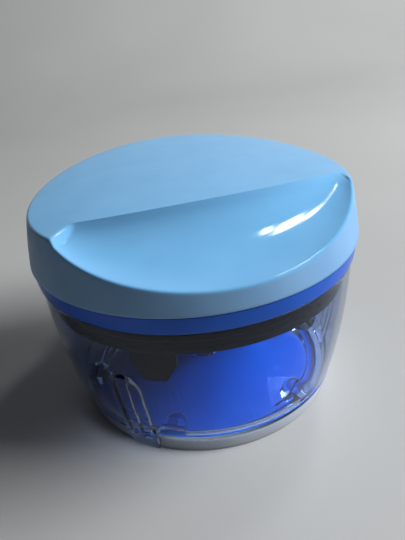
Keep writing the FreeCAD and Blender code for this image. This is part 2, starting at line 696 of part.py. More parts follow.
def cord_knot():
    """Knot that holds the cord's end in the handle."""
    return Part.makeSphere(1.8, V(0, KNOT_Y, CORD_Z)).cut(cord_outer_run())


def handle_cap():
    """Small plug over the knot."""
    return rod(V(0, CAP_Y + 0.02, CORD_Z), V(0, HANDLE_R1 - 0.3, CORD_Z), CAP_R - 0.05)


# --- export -------------------------------------------------------------------------------------
def main():
    os.makedirs("parts", exist_ok=True)
    makers = [non_slip_base, base_disc, bowl, bowl_pivot_pin, blade_column, lid_top_cover,
              lid_lower_housing, lid_seal, lid_screws, drive_hub, hub_circlip, hub_washer,
              clutch_ratchet, clutch_pawls, pawl_pins, cord_reel, reel_axle, cord_on_reel,
              cord_inner_run, cord_eyelet, cord_outer_run, recoil_spring, spring_cup, spring_cover,
              mechanism_screws, pull_handle, cord_knot, handle_cap]
    for maker in makers:
        save(maker.__name__, maker())
    for name, (z, az) in BLADES.items():
        save(name, blade(z, az))


main()
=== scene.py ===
import json
import math

import bmesh
import bpy
from mathutils import Matrix, Quaternion, Vector


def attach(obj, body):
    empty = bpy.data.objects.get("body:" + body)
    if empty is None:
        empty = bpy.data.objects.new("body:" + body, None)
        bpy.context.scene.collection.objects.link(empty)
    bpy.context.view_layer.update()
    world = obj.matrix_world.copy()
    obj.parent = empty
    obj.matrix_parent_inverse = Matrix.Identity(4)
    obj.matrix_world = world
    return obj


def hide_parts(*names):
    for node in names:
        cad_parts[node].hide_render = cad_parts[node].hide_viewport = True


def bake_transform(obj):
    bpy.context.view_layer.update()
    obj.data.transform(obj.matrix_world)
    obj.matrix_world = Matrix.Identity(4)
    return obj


# Looks of a hand-pulled food chopper: light blue lid with a palm scoop, royal blue ring, smoky
# clear bowl on a pale grey base. Shapes are in millimetres here and are turned into metres when a
# mesh is made; lights, camera and floor are in metres. Azimuths are in degrees from the front (-Y)
# towards +X. Outlines are lists of (radius, height).

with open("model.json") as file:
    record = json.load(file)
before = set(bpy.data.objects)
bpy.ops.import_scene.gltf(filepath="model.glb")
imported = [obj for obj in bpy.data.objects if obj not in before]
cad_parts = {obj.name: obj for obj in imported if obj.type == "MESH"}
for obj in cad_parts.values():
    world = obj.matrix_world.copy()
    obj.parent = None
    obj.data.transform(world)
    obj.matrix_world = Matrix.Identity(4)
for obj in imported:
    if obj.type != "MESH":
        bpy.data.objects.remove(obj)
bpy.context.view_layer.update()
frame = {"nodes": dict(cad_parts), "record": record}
MM = 0.001
WELD = 2e-6                  # corners closer together than this become one

# --- lid's numbers ------------------------------------------------------------------------------
LID_TOP_Z = 93.5
LID_EDGE_DROP = 5.3          # fall of the crown from its middle line to CROWN_HALF
CROWN_HALF = 64.5
COVER_Z = 68.6
COVER_SIDE = [(66.9, COVER_Z), (65.5, 80.0), (62.7, 94.5)]
WALL = 2.2
CREASE_R = 139.0             # the crease is an arc across the lid, nearest the front at this point
CREASE_X = 2.0
CREASE_Y = -31.3
CREASE_SOFT = 2.2            # height over which crown and scoop flow into each other
SCOOP_HALF = 57.5
SCOOP_LEFT_POWER = 0.62      # how abruptly the scoop runs out at its ends
SCOOP_RIGHT_POWER = 0.7
SCOOP_DEPTH = 17.6
SCOOP_LIFT = 0.7
SCOOP_OVERRUN = 3.0          # the scoop would reach its lowest this far past the front edge
CORNER_X = -50.8             # a slanting wall closes the scoop's left end at the crease
CORNER_Y = -21.0
CORNER_SLANT = 0.96
CORNER_WIDTH = 6.0
FULL_EDGE_DEPTH = 2.0        # scoop depth from which the crease has its full softness
RIM_SOFT = 1.1               # rounding of the edge between the top and the side band
RIM_ROUNDS = 30              # repeats that settle the rim's radius
RIM_STEPS = 6
FOOT_INSET = [(1.6, 0.0), (0.5, 0.0), (0.15, 0.15)]     # band's rounded foot: inset and rise
FOOT_ROUND = 0.5
COVER_COLUMNS = 260
SIDE_ROWS = 12
SCOOP_ROWS = 40
CROWN_ROWS = 36
LEAST_SCOOP_SHARE = 0.15     # least share of a column's span that the scoop's rows cover
SPLIT_ROUNDS = 3
SCOOP_CROWDING = 2.6         # how strongly rows crowd towards the crease, from either side
CROWN_CROWDING = 1.8
OUTLET_R = 3.0               # hole in the lid's back for the cord
BAND_FLATTEST = 0.32         # most that a face of the side band may look up or down
BAND_SKIN = 0.4              # depth within which a face belongs to the side band

RING_OUTLINE = [(9.28, 62.6), (62.9, 62.6), (62.9, 61.4), (65.0, 61.4), (65.5, 62.0),
                (66.5, 68.5), (64.0, 68.5), (64.0, 70.5), (62.2, 70.5), (62.2, 64.8), (9.28, 64.8)]
RING_ROUND = 0.35
POST_OUTLINE = [(0, 64.3), (3.2, 64.3), (3.2, 80.9), (0, 80.9)]
POST_ROUND = 0.2
POST_SEGMENTS = 32
POST_AZ = [-30.0, 90.0, 210.0]
POST_PLACE_R = 26.5
SKIRT_OUTLINE = [(58.6, 62.58), (58.2, 50.8), (60.6, 50.8), (61.4, 53.2), (60.9, 54.1),
                 (60.9, 56.0), (61.4, 56.9), (61.4, 58.0), (60.9, 58.9), (60.9, 62.58)]
SKIRT_ROUND = 0.3
TONGUE_AZ = [-31.0, 89.0, 209.0]
TONGUE_HALF = 8.3
TONGUE_CHAMFER = 4.2
TONGUE_CHAMFER_SLOPE = 1.6
TONGUE_TIP_Z = 39.2
TONGUE_TOP_Z = 51.8
TONGUE_INNER_R = 58.2
TONGUE_OUTER_R = 60.3
TONGUE_CHAMFER_ROWS = 7
TONGUE_SIDE_ROWS = 5

CORD_Z = 76.6
CORD_R = 0.75
CORD_START_Y = 61.5
CORD_END_Y = 72.4
CORD_RINGS = 160
CORD_AROUND = 16
EYELET_Y = 61.9
EYELET_BORE_R = 1.3
EYELET_BUSH_R = 3.1
EYELET_FLANGE_R = 4.4
EYELET_FLANGE_T = 0.9
EYELET_LIP_R = 4.3
EYELET_LIP_T = 0.6
EYELET_LIP_SINK = 0.1
EYELET_ROUND = 0.25
EYELET_SEGMENTS = 64

# --- base's and bowl's numbers ------------------------------------------------------------------
GRIP_GROOVES = (18.0, 26.0, 34.0, 42.0)
GRIP_WIDTH = 1.6
GRIP_DEPTH = 0.7
DISH_OUTLINE = [(54.6, 0), (54.6, 5.5), (50.6, 5.5), (50.6, 2.0), (0, 2.0)]
DISH_ROUND = 0.8
DISC_OUTLINE = [(0, 2.05), (50.2, 2.05), (50.2, 3.5), (0, 3.5)]
DISC_ROUND = 0.3

BOWL_SIDE = [(57.2, 9.5), (62.1, 34.0), (64.5, 61.0)]
BOWL_FLOOR_Z = 8.0
OUTER_CORNER = [(57.2, 9.5), (56.9, 6.0), (53.4, 5.7)]
INNER_CORNER = [(51.2, BOWL_FLOOR_Z), (54.5, 8.3), (55.0, 11.8)]
CORNER_STEPS = 10
OUTER_TOP_Z = 60.4           # the outside's rows go down from here, closer together at the ribs
OUTER_STEP = 1.2
OUTER_ROWS = 16
OUTER_FINE_Z = 42.0
OUTER_FINE_STEP = 0.4
OUTER_FINE_ROWS = 81
BOSS_POINTS = [(0, 12.0), (4.6, 12.0), (5.0, 11.6), (6.7, 8.6), (7.4, 8.0)]
FLOOR_RADII = range(11, 44, 4)
FLOOR_FINE_R = 44.0
FLOOR_FINE_STEP = 0.4
FLOOR_FINE_ROWS = 18
INNER_LOW_ROWS = (12.2, 12.6, 13.0, 13.4, 13.8, 14.4, 15.2)
INNER_HIGH_ROWS = [17 + 2.5 * i for i in range(18)]
RIM_POINTS = [(62.3, 60.3), (62.35, 60.7), (62.7, 61.0), (64.1, 61.0), (64.42, 60.75)]
FOOT_POINTS = [(49.6, 5.7), (49.4, 5.5), (49.4, 3.75), (49.2, 3.55), (47.2, 3.55), (47.0, 3.75),
               (47.0, 5.5), (46.8, 5.7), (0, 5.7)]
HOOK_POINTS = [(58.2, 9.0), (57.6, 6.4), (57.0, 3.6), (56.5, 1.3), (56.1, 0.8), (55.3, 0.8),
               (54.95, 1.2), (54.9, 3.4), (54.9, 5.3), (53.6, 5.7)]     # foot of a rib

RIB_AZ = [-42.0, 78.0, 198.0]
RIB_HALF = 6.3
RIB_TOP_Z = 40.5
RIB_PROUD = 1.2
RIB_REACH = 10.0             # degrees to either side in which a rib is looked for
RIB_EDGE = (-0.25, 0.35)     # distances from the outline over which the rib rises
GROOVE_HALF = 1.5
GROOVE_TOP_Z = 38.3
GROOVE_FOOT_Z = 9.0
GROOVE_DEPTH = 0.85
GROOVE_ANGLE = 2.6
GROOVE_EDGE = (-0.2, 0.35)
BUMP_AZ = [-30.0, 30.0, 90.0, 150.0, 210.0, 270.0]
BUMP_PLACE_R = 49.8
BUMP_Z = 8.4
BUMP_R = 5.8
BUMP_REACH = 8.0
COLUMN_STEP = 1.2            # degrees between the bowl's columns
RIB_SPAN = 8.0               # half the span of closer columns at a rib, and their step
RIB_STEP = 0.16
BUMP_SPAN = 6.4
BUMP_STEP = 0.4
LEAST_STEP = 0.1

# --- numbers of the surroundings ----------------------------------------------------------------
PLASTIC_IOR = 1.48
BOWL_IOR = 1.32
SHADOW_TINT = (0.95, 0.96, 0.98, 1.0)
GROUND_HALF_WIDTH = 2.6
GROUND_FRONT_Y = -1.6
GROUND_STEP = 0.1
GROUND_ROWS = 23
BEND_Y = 0.6                 # the floor bends up here, with this radius
BEND_R = 0.5
BEND_STEPS = 16
BACKDROP_TOP_Z = 2.2
ROOM_COLOUR = (0.62, 0.70, 0.82, 1.0)
ROOM_STRENGTH = 0.05
DAYLIGHT = (0.95, 0.98, 1.0)
AIM = Vector((0.0, 0.0, 0.06))
KEY_PLACE = (76, 38, 1.5)    # azimuth, elevation and distance
KEY_SIZE = (0.95, 0.7)
KEY_POWER = 49.0
PANE_DISTANCE = 1.6
# Window panes: azimuth, elevation, size, power and roll.
PANES = {"pane_high": (120.1, 64.6, (0.040, 0.140), 0.8, -1.88),
         "pane_mid": (124.2, 60.4, (0.180, 0.097), 2.4, -0.175),
         "pane_low": (128.1, 56.65, (0.028, 0.100), 0.4, 1.328)}
CAMERA_AZ = -13.5
CAMERA_EL = 25.7
CAMERA_ROLL = 6.1
CAMERA_DISTANCE = 0.2339
CAMERA_TARGET = Vector((0.0, 0.0, 0.0615))
CAMERA_LENS = 36.67
CAMERA_SENSOR = 36.0
CAMERA_SHIFT = (0.0155, -0.0462)


# --- mesh helpers -------------------------------------------------------------------------------
def polar(az, r, z):
    a = math.radians(az)
    return Vector((r * math.sin(a), -r * math.cos(a), z))


def arc_radius(points):
    """Radius as a function of height on the arc through three (radius, height) points."""
    (x1, y1), (x2, y2), (x3, y3) = points
    d = 2 * (x1 * (y2 - y3) + x2 * (y3 - y1) + x3 * (y1 - y2))
    s1, s2, s3 = x1 * x1 + y1 * y1, x2 * x2 + y2 * y2, x3 * x3 + y3 * y3
    cx = (s1 * (y2 - y3) + s2 * (y3 - y1) + s3 * (y1 - y2)) / d
    cy = (s1 * (x3 - x2) + s2 * (x1 - x3) + s3 * (x2 - x1)) / d
    radius = math.hypot(x1 - cx, y1 - cy)
    return lambda z: cx + math.sqrt(max(radius ** 2 - (z - cy) ** 2, 0.0))


def smooth(low, high, value):
    t = min(max((value - low) / (high - low), 0.0), 1.0)
    return t * t * (3 - 2 * t)


def soft_corner(a, corner, b, steps):
    """Points of a curve from a to b that bends round the corner."""
    points = []
    for i in range(steps + 1):
        t = i / steps
        points.append(a * (1 - t) ** 2 + corner * 2 * t * (1 - t) + b * t * t)
    return points


def rounded(outline, radius, steps=4):
    """Closed (radius, height) outline with its corners rounded."""
    result = []
    count = len(outline)
    for i in range(count):
        before = Vector(outline[i - 1])
        here = Vector(outline[i])
        after = Vector(outline[(i + 1) % count])
        if here.x < 1e-6:
            result.append(here)
            continue
        reach = min(radius, 0.45 * (before - here).length, 0.45 * (after - here).length)
        start = here + (before - here).normalized() * reach
        end = here + (after - here).normalized() * reach
        result += soft_corner(start, here, end, steps)
    return [(p.x, p.y) for p in result]


def grid_faces(columns, rows, wrap_columns, wrap_rows, first=0):
    faces = []
    for i in range(columns if wrap_columns else columns - 1):
        a = first + i * rows
        b = first + (i + 1) % columns * rows
        for k in range(rows if wrap_rows else rows - 1):
            k2 = (k + 1) % rows
            faces.append((a + k, a + k2, b + k2, b + k))
    return faces


def turned(outline, segments=256, about_y=None):
    """Closed (radius, height) outline turned about Z, or about the line along Y at that height."""
    verts = []
    for i in range(segments):
        az = 360.0 * i / segments
        for r, h in outline:
            p = polar(az, r, h)
            if about_y is not None:
                p = Vector((p.x, p.z, about_y - p.y))
            verts.append(p)
    return verts, grid_faces(segments, len(outline), True, True)


def combined(*parts):
    verts = []
    faces = []
    for part_verts, part_faces in parts:
        first = len(verts)
        verts += part_verts
        faces += [tuple(first + k for k in face) for face in part_faces]
    return verts, faces


def moved(part, offset):
    verts, faces = part
    return [v + offset for v in verts], faces


def slab(outline, inner, outer, az, columns=24):
    """Curved plate at azimuth az: outline gives its half width at each height, on two radii."""
    verts = []
    for r in (outer, inner):
        for i in range(columns + 1):
            u = 2 * i / columns - 1
            for half, z in outline:
                verts.append(polar(az + math.degrees(u * half / r), r, z))
    rows = len(outline)
    side = (columns + 1) * rows
    faces = grid_faces(columns + 1, rows, False, False)
    faces += grid_faces(columns + 1, rows, False, False, side)
    edge = list(range(rows))
    edge += [i * rows + rows - 1 for i in range(1, columns + 1)]
    edge += [columns * rows + k for k in range(rows - 2, -1, -1)]
    edge += [i * rows for i in range(columns - 1, 0, -1)]
    for i in range(len(edge)):
        a = edge[i]
        b = edge[(i + 1) % len(edge)]
        faces.append((a, b, b + side, a + side))
    return verts, faces


def make_piece(name, part, slot, body, stands_for, sharp=40.0):
    """Visible piece with its slot's material; it rides the body, if one is given."""
    verts, faces = part
    mesh = bpy.data.meshes.new(name)
    mesh.from_pydata([v * MM for v in verts], [], faces)
    tool = bmesh.new()
    tool.from_mesh(mesh)
    bmesh.ops.remove_doubles(tool, verts=tool.verts, dist=WELD)
    bmesh.ops.recalc_face_normals(tool, faces=tool.faces)
    tool.to_mesh(mesh)
    tool.free()
    mesh.shade_smooth()
    mesh.set_sharp_from_angle(angle=math.radians(sharp))
    mesh.materials.append(MATERIALS[slot])
    piece = bpy.data.objects.new(name, mesh)
    bpy.context.scene.collection.objects.link(piece)
    if body:
        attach(piece, body)
    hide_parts(stands_for)
    return piece


# --- materials ----------------------------------------------------------------------------------
def new_material(name):
    material = bpy.data.materials.new(name)
    material.use_nodes = True
    tree = material.node_tree
    tree.nodes.clear()
    output = tree.nodes.new("ShaderNodeOutputMaterial")
    shader = tree.nodes.new("ShaderNodeBsdfPrincipled")
    tree.links.new(shader.outputs["BSDF"], output.inputs["Surface"])
    return material, tree, shader, output


def noise(tree, scale, detail=3.0, stretch=(1.0, 1.0, 1.0)):
    place = tree.nodes.new("ShaderNodeTexCoord")
    mapping = tree.nodes.new("ShaderNodeMapping")
    mapping.inputs["Scale"].default_value = stretch
    pattern = tree.nodes.new("ShaderNodeTexNoise")
    pattern.inputs["Scale"].default_value = scale
    pattern.inputs["Detail"].default_value = detail
    tree.links.new(place.outputs["Object"], mapping.inputs["Vector"])
    tree.links.new(mapping.outputs["Vector"], pattern.inputs["Vector"])
    return pattern.outputs["Fac"]


def ramp(tree, value, colours, low=0.3, high=0.7):
    node = tree.nodes.new("ShaderNodeValToRGB")
    stops = node.color_ramp.elements
    stops[0].position = low
    stops[0].color = (*colours[0], 1.0)
    stops[1].position = high
    stops[1].color = (*colours[1], 1.0)
    tree.links.new(value, node.inputs["Fac"])
    return node.outputs["Color"]


def spread(tree, value, low, high):
    node = tree.nodes.new("ShaderNodeMapRange")
    node.inputs["From Min"].default_value = 0.3
    node.inputs["From Max"].default_value = 0.7
    node.inputs["To Min"].default_value = low
    node.inputs["To Max"].default_value = high
    tree.links.new(value, node.inputs["Value"])
    return node.outputs["Result"]


def relief(tree, shader, value, strength, height):
    node = tree.nodes.new("ShaderNodeBump")
    node.inputs["Strength"].default_value = strength
    node.inputs["Distance"].default_value = height
    tree.links.new(value, node.inputs["Height"])
    tree.links.new(node.outputs["Normal"], shader.inputs["Normal"])


def moulded(name, colours, rough, mottle=60.0, grain=900.0, grain_strength=0.0,
            grain_height=0.00004, specular=0.5, sheen=0.0):
    """Moulded plastic or rubber: mottled colour, uneven gloss and, if asked for, a fine grain."""
    material, tree, shader, _ = new_material(name)
    tree.links.new(ramp(tree, noise(tree, mottle), colours), shader.inputs["Base Color"])
    tree.links.new(spread(tree, noise(tree, mottle * 2.3, detail=4.0), rough[0], rough[1]),
                   shader.inputs["Roughness"])
    if grain_strength:
        relief(tree, shader, noise(tree, grain, detail=2.0), grain_strength, grain_height)
    shader.inputs["IOR"].default_value = PLASTIC_IOR
    shader.inputs["Specular IOR Level"].default_value = specular
    shader.inputs["Sheen Weight"].default_value = sheen
    return material


def metal(name, colours, rough, stretch):
    """Bare metal with fine directional scratches."""
    material, tree, shader, _ = new_material(name)
    lines = noise(tree, scale=900.0, detail=5.0, stretch=stretch)
    tree.links.new(ramp(tree, lines, colours), shader.inputs["Base Color"])
    tree.links.new(spread(tree, lines, rough[0], rough[1]), shader.inputs["Roughness"])
    relief(tree, shader, lines, strength=0.05, height=0.00001)
    shader.inputs["Metallic"].default_value = 1.0
    return material


def braided(name, colours):
    """Braided cord: small slanting strands."""
    material, tree, shader, _ = new_material(name)
    place = tree.nodes.new("ShaderNodeTexCoord")
    cells = tree.nodes.new("ShaderNodeTexVoronoi")
    cells.inputs["Scale"].default_value = 2600.0
    tree.links.new(place.outputs["Object"], cells.inputs["Vector"])
    tree.links.new(ramp(tree, cells.outputs["Distance"], colours, low=0.1, high=0.7),
                   shader.inputs["Base Color"])
    relief(tree, shader, cells.outputs["Distance"], strength=0.6, height=0.0001)
    shader.inputs["Roughness"].default_value = 0.8
    return material


def smoky_clear(name, tint, rough):
    """Tinted clear plastic that lets light through to what it holds."""
    material, tree, shader, output = new_material(name)
    haze = noise(tree, scale=45.0, detail=4.0)
    tree.links.new(ramp(tree, haze, tint), shader.inputs["Base Color"])
    tree.links.new(spread(tree, haze, rough[0], rough[1]), shader.inputs["Roughness"])
    shader.inputs["IOR"].default_value = BOWL_IOR
    shader.inputs["Transmission Weight"].default_value = 1.0
    passing = tree.nodes.new("ShaderNodeBsdfTransparent")
    passing.inputs["Color"].default_value = SHADOW_TINT
    path = tree.nodes.new("ShaderNodeLightPath")
    choice = tree.nodes.new("ShaderNodeMixShader")
    tree.links.new(path.outputs["Is Shadow Ray"], choice.inputs["Fac"])
    tree.links.new(shader.outputs["BSDF"], choice.inputs[1])
    tree.links.new(passing.outputs["BSDF"], choice.inputs[2])
    tree.links.new(choice.outputs["Shader"], output.inputs["Surface"])
    return material


MATERIALS = {
    "lid_blue": moulded("lid_gloss", [(0.125, 0.325, 0.55), (0.14, 0.35, 0.585)], (0.055, 0.085)),
    "housing_blue": moulded("ring_royal", [(0.006, 0.085, 0.50), (0.009, 0.10, 0.55)], (0.20, 0.28),
                            specular=0.25),
    "disc_blue": moulded("disc_royal", [(0.001, 0.13, 0.50), (0.002, 0.145, 0.54)], (0.55, 0.65),
                         specular=0.2),
    "seal_dark": moulded("seal_black", [(0.002, 0.002, 0.003), (0.005, 0.005, 0.007)], (0.5, 0.6),
                         specular=0.25),
    "base_grip": moulded("base_soft", [(0.34, 0.37, 0.42), (0.38, 0.41, 0.46)], (0.5, 0.62), sheen=0.1),
    "bowl_clear": smoky_clear("bowl_smoke", [(0.44, 0.53, 0.72), (0.48, 0.57, 0.75)], (0.0, 0.03)),
    "column_plastic": moulded("column_royal", [(0.004, 0.09, 0.62), (0.008, 0.11, 0.70)], (0.35, 0.45)),
    "mechanism_plastic": moulded("natural_white", [(0.62, 0.61, 0.57), (0.70, 0.69, 0.65)], (0.4, 0.55)),
    "steel": metal("ground_steel", [(0.60, 0.62, 0.65), (0.67, 0.69, 0.72)], (0.22, 0.32),
                   (1.0, 0.06, 1.0)),
    "pin_steel": metal("bright_steel", [(0.55, 0.56, 0.58), (0.68, 0.69, 0.71)], (0.10, 0.22),
                       (1.0, 1.0, 0.1)),
    "spring_steel": metal("blued_steel", [(0.12, 0.15, 0.24), (0.24, 0.26, 0.32)], (0.2, 0.35),
                          (1.0, 1.0, 0.08)),
    "cord": braided("cord_white", [(0.78, 0.78, 0.75), (0.35, 0.35, 0.34)]),
}
BAND = moulded("lid_satin", [(0.165, 0.33, 0.55), (0.185, 0.36, 0.59)], (0.42, 0.55), grain=1500.0,
               grain_strength=0.35, grain_height=0.0001)
GROUND = moulded("ground_pale", [(0.325, 0.322, 0.315), (0.355, 0.352, 0.345)], (0.5, 0.6), mottle=3.0,
                 grain=700.0, grain_strength=0.05)


def finish_cad_nodes():
    """Gives every CAD node the material of its slot."""
    for subpart in frame["record"]["subparts"]:
        mesh = frame["nodes"][subpart["node"]].data
        mesh.materials.clear()
        mesh.materials.append(MATERIALS[subpart["material_slot"]])


# --- lid ----------------------------------------------------------------------------------------
side_r = arc_radius(COVER_SIDE)


def crown(x):
    return LID_TOP_Z - LID_EDGE_DROP * (x / CROWN_HALF) ** 2


def crease(x):
    return CREASE_Y + CREASE_R - math.sqrt(CREASE_R ** 2 - (x - CREASE_X) ** 2)


def scoop_numbers(x):
    """Reach towards the front and depth of the scoop at x; depth is 0 past its ends."""
    if abs(x) >= SCOOP_HALF:
        return 1.0, 0.0
    reach = crease(x) + math.sqrt(COVER_SIDE[0][0] ** 2 - x * x) + SCOOP_OVERRUN
    power = SCOOP_LEFT_POWER if x < 0 else SCOOP_RIGHT_POWER
    return reach, SCOOP_DEPTH * (1 - (x / SCOOP_HALF) ** 2) ** power


def top_height(x, y):
    """Height of the lid's top: the lower of crown and scoop, flowing into each other."""
    high = crown(x)
    reach, depth = scoop_numbers(x)
    if depth == 0.0:
        return high
    u = min(max((crease(x) - y) / reach, 0.0), 1.0)
    corner = CORNER_X + (y - CORNER_Y) * CORNER_SLANT
    share = smooth(corner, corner + CORNER_WIDTH, x) * math.sqrt(2 * u - u * u)
    fall = (depth + CREASE_SOFT - SCOOP_LIFT) * share * smooth(0.0, FULL_EDGE_DEPTH, depth)
    low = high + CREASE_SOFT - fall
    h = min(max(0.5 + 0.5 * (low - high) / CREASE_SOFT, 0.0), 1.0)
    return low + (high - low) * h - CREASE_SOFT * h * (1 - h)


def rim_radius(az):
    """Radius at which the top meets the side at that azimuth."""
    r = COVER_SIDE[1][0]
    for _ in range(RIM_ROUNDS):
        p = polar(az, r, 0)
        r = 0.5 * r + 0.5 * side_r(top_height(p.x, p.y))
    return r


def rim_points(az):
    """Rounded edge at that azimuth, from the side up to the top."""
    r = rim_radius(az)
    corner = polar(az, r, 0)
    corner.z = top_height(corner.x, corner.y)
    below = corner.z - RIM_SOFT
    start = polar(az, side_r(below), below)
    end = polar(az, r - RIM_SOFT, 0)
    end.z = top_height(end.x, end.y)
    return soft_corner(start, corner, end, RIM_STEPS)


def side_points(az, top_z):
    """Points up the side band at that azimuth, with a rounded foot."""
    points = [polar(az, side_r(COVER_Z) - inset, COVER_Z + rise) for inset, rise in FOOT_INSET]
    for i in range(SIDE_ROWS):
        z = COVER_Z + FOOT_ROUND + (top_z - COVER_Z - FOOT_ROUND) * i / SIDE_ROWS
        points.append(polar(az, side_r(z), z))
    return points


def top_points(front, back):
    """Points over the top between two rim points, closer together near the crease."""
    def across(y):
        t = (y - front.y) / max(back.y - front.y, 1e-6)
        return front.x + (back.x - front.x) * t

    span = back.y - front.y
    least = front.y + LEAST_SCOOP_SHARE * span
    split = least
    for _ in range(SPLIT_ROUNDS):
        split = max(crease(across(split)), least)
    points = []
    for i in range(1, SCOOP_ROWS):
        t = 1 - i / SCOOP_ROWS
        y = split - (split - front.y) * t ** SCOOP_CROWDING
        x = across(y)
        points.append(Vector((x, y, top_height(x, y))))
    for i in range(CROWN_ROWS):
        t = i / CROWN_ROWS
        y = split + (back.y - split) * t ** CROWN_CROWDING
        x = across(y)
        points.append(Vector((x, y, top_height(x, y))))
    return points


def lid_cover():
    """Lid cover: band, rounded rim, crown and scoop as one grid, with the cord's outlet."""
    verts = []
    for i in range(COVER_COLUMNS + 1):
        az = -90.0 + 180.0 * i / COVER_COLUMNS
        front_rim = rim_points(az)
        back_rim = rim_points(180.0 - az)
        front_side = side_points(az, front_rim[0].z)
        back_side = side_points(180.0 - az, back_rim[0].z)
        top = top_points(front_rim[-1], back_rim[-1])
        column = front_side + front_rim + top + back_rim[::-1] + back_side[::-1]
        verts += column
    faces = grid_faces(COVER_COLUMNS + 1, len(column), False, False)
    outlet = Vector((0.0, side_r(CORD_Z), CORD_Z))
    faces = [f for f in faces if max((verts[k] - outlet).length for k in f) > OUTLET_R]
    piece = make_piece("lid_cover_shell", (verts, faces), "lid_blue", "lid", "lid_top_cover",
                       sharp=60.0)
    piece.data.materials.append(BAND)
    for face in piece.data.polygons:
        steep = abs(face.normal.z) < BAND_FLATTEST
        band_r = side_r(face.center.z / MM) - BAND_SKIN
        if steep and face.center.xy.length > band_r * MM:
            face.material_index = 1
    shell = piece.modifiers.new("wall", "SOLIDIFY")
    shell.thickness = WALL * MM
    shell.offset = -1.0


def lid_housing():
    """Royal blue ring and floor plate with the posts for the mechanism."""
    parts = [turned(rounded(RING_OUTLINE, RING_ROUND))]
    post = turned(rounded(POST_OUTLINE, POST_ROUND), POST_SEGMENTS)
    for az in POST_AZ:
        parts.append(moved(post, polar(az, POST_PLACE_R, 0)))
    make_piece("lid_ring", combined(*parts), "housing_blue", "lid", "lid_lower_housing")


def tongue_outline():
    """Half width of a tongue at each height, from its chamfered tip up into the skirt."""
    shoulder = TONGUE_TIP_Z + TONGUE_CHAMFER * TONGUE_CHAMFER_SLOPE
    outline = [(TONGUE_HALF - TONGUE_CHAMFER, TONGUE_TIP_Z)]
    for i in range(1, TONGUE_CHAMFER_ROWS + 1):
        t = i / TONGUE_CHAMFER_ROWS
        half = TONGUE_HALF - TONGUE_CHAMFER * (1 - t)
        outline.append((half, TONGUE_TIP_Z + (shoulder - TONGUE_TIP_Z) * t))
    for i in range(1, TONGUE_SIDE_ROWS + 1):
        outline.append((TONGUE_HALF, shoulder + (TONGUE_TOP_Z - shoulder) * i / TONGUE_SIDE_ROWS))
    return outline


def seal():
    """Dark skirt with its bead, lip and three tongues."""
    parts = [turned(rounded(SKIRT_OUTLINE, SKIRT_ROUND))]
    for az in TONGUE_AZ:
        parts.append(slab(tongue_outline(), TONGUE_INNER_R, TONGUE_OUTER_R, az))
    make_piece("seal_skirt", combined(*parts), "seal_dark", "lid", "lid_seal")


def eyelet():
    """Flanged bush round the cord's outlet."""
    flange_y = EYELET_Y + EYELET_FLANGE_T
    wall_y = side_r(CORD_Z)
    lip_y = wall_y - EYELET_LIP_SINK
    end_y = wall_y + EYELET_LIP_T
    outline = [(EYELET_BORE_R, EYELET_Y), (EYELET_FLANGE_R, EYELET_Y), (EYELET_FLANGE_R, flange_y),
               (EYELET_BUSH_R, flange_y), (EYELET_BUSH_R, lip_y), (EYELET_LIP_R, lip_y),
               (EYELET_LIP_R, end_y), (EYELET_BORE_R, end_y)]
    part = turned(rounded(outline, EYELET_ROUND), EYELET_SEGMENTS, CORD_Z)
    make_piece("eyelet_bush", part, "pin_steel", "lid", "cord_eyelet")


# --- base and bowl ------------------------------------------------------------------------------
def base():
    """Soft dish with grip grooves in its underside."""
    outline = [(0, 0)]
    for r in GRIP_GROOVES:
        outline += [(r, 0), (r, GRIP_DEPTH), (r + GRIP_WIDTH, GRIP_DEPTH), (r + GRIP_WIDTH, 0)]
    outline += DISH_OUTLINE
    make_piece("base_dish", turned(rounded(outline, DISH_ROUND)), "base_grip", "bowl_unit",
               "non_slip_base")


def floor_disc():
    """Royal blue disc seen through the bowl's floor."""
    make_piece("floor_disc", turned(rounded(DISC_OUTLINE, DISC_ROUND)), "disc_blue", "bowl_unit",
               "base_disc")


bowl_r = arc_radius(BOWL_SIDE)


def fine_azimuths():
    """Azimuths of the bowl's columns, close together at the ribs and bumps."""
    wanted = [COLUMN_STEP * i for i in range(round(360.0 / COLUMN_STEP))]
    for az in RIB_AZ:
        wanted += [az - RIB_SPAN + RIB_STEP * i for i in range(round(2 * RIB_SPAN / RIB_STEP) + 1)]
    for az in BUMP_AZ:
        wanted += [az - BUMP_SPAN + BUMP_STEP * i for i in range(round(2 * BUMP_SPAN / BUMP_STEP) + 1)]
    wanted = sorted(a % 360.0 for a in wanted)
    kept = [wanted[0]]
    for a in wanted[1:]:
        if a - kept[-1] > LEAST_STEP:
            kept.append(a)
    if kept[0] + 360.0 - kept[-1] <= LEAST_STEP:
        kept.pop()
    return kept


def away(az, other):
    """Smallest signed angle between two azimuths."""
    return (az - other + 180.0) % 360.0 - 180.0


def slot_depth(lateral, z, half, top_z):
    """Distance inside an upright round-topped outline; negative outside it."""
    centre = top_z - half
    if z > centre:
        return half - math.hypot(lateral, z - centre)
    return half - abs(lateral)


def rib_amount(az, z):
    """How far the rib's full section applies at that place of the outside, and the groove depth."""
    amount = 0.0
    groove = 0.0
    for rib in RIB_AZ:
        angle = away(az, rib)
        if abs(angle) > RIB_REACH:
            continue
        r = bowl_r(max(z, BOWL_SIDE[0][1]))
        amount = smooth(*RIB_EDGE, slot_depth(math.radians(angle) * r, z, RIB_HALF, RIB_TOP_Z))
        for side in (-1, 1):
            lateral = math.radians(angle - side * GROOVE_ANGLE) * r
            inside = min(slot_depth(lateral, z, GROOVE_HALF, GROOVE_TOP_Z), z - GROOVE_FOOT_Z)
            groove = max(groove, smooth(*GROOVE_EDGE, inside))
    return amount, groove * GROOVE_DEPTH


